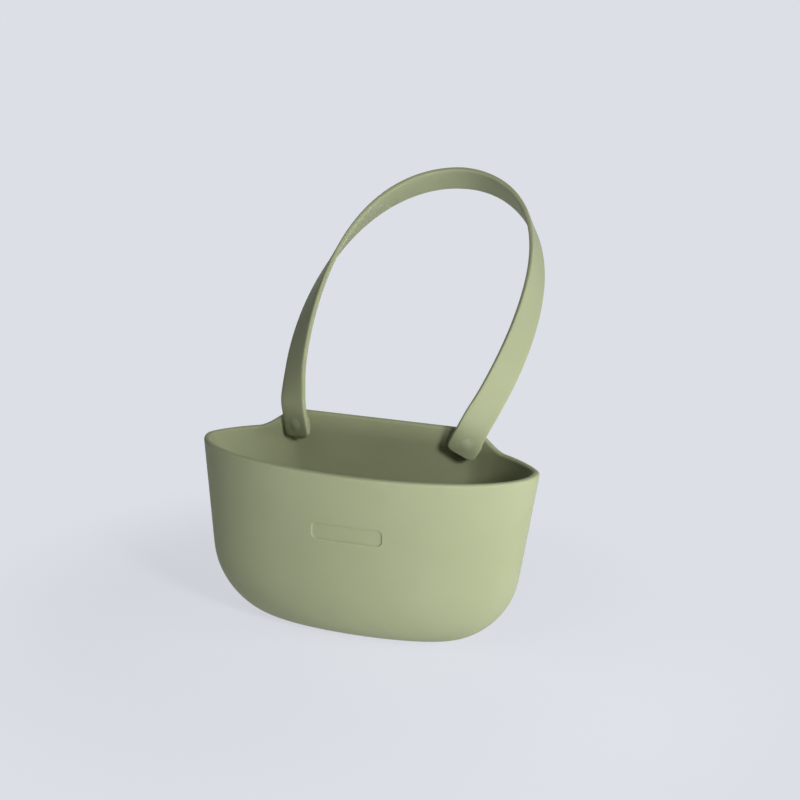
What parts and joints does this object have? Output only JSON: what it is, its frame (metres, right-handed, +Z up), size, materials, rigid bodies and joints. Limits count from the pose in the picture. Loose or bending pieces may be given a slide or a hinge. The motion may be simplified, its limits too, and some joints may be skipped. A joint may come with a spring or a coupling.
{
  "type": "kitchen sink caddy",
  "caption": "Soft moulded open-top pocket with rounded sides and a drained base, hung from a twisted flat strap that snaps inside its raised back wall.",
  "frame": {"origin": "on the underside of the flat base, below the middle of the rim", "axes": "+X across the pocket to the right as seen from the front, +Y towards the raised back wall, +Z up"},
  "size_m": [0.1298, 0.133, 0.1685],
  "materials": {
    "soft_plastic": "matte moulded thermoplastic rubber, sage green",
    "snap_plastic": "matte moulded plastic, sage green"
  },
  "bodies": {
    "pocket": {"pocket": "soft_plastic", "left_wall_cap": "snap_plastic", "left_snap_socket": "snap_plastic", "right_wall_cap": "snap_plastic", "right_snap_socket": "snap_plastic"},
    "strap_ends": {"strap_left_end": "soft_plastic", "strap_right_end": "soft_plastic", "left_snap_stud": "snap_plastic", "left_strap_cap": "snap_plastic", "right_snap_stud": "snap_plastic", "right_strap_cap": "snap_plastic"},
    "strap_loop": {"strap_loop": "soft_plastic"}
  },
  "joints": [
    {"name": "snap_release", "type": "slide", "parent": "pocket", "child": "strap_ends", "axis": [0, -1, 0], "range_m": [0, 0.02]},
    {"name": "loop_tilt", "type": "hinge", "parent": "strap_ends", "child": "strap_loop", "pos_m": [0, 0.0211, 0.0824], "axis": [1, 0, 0], "range_deg": [-30, 95], "stiffness_Nm_per_rad": 0.015, "springref_deg": 12.78}
  ]
}
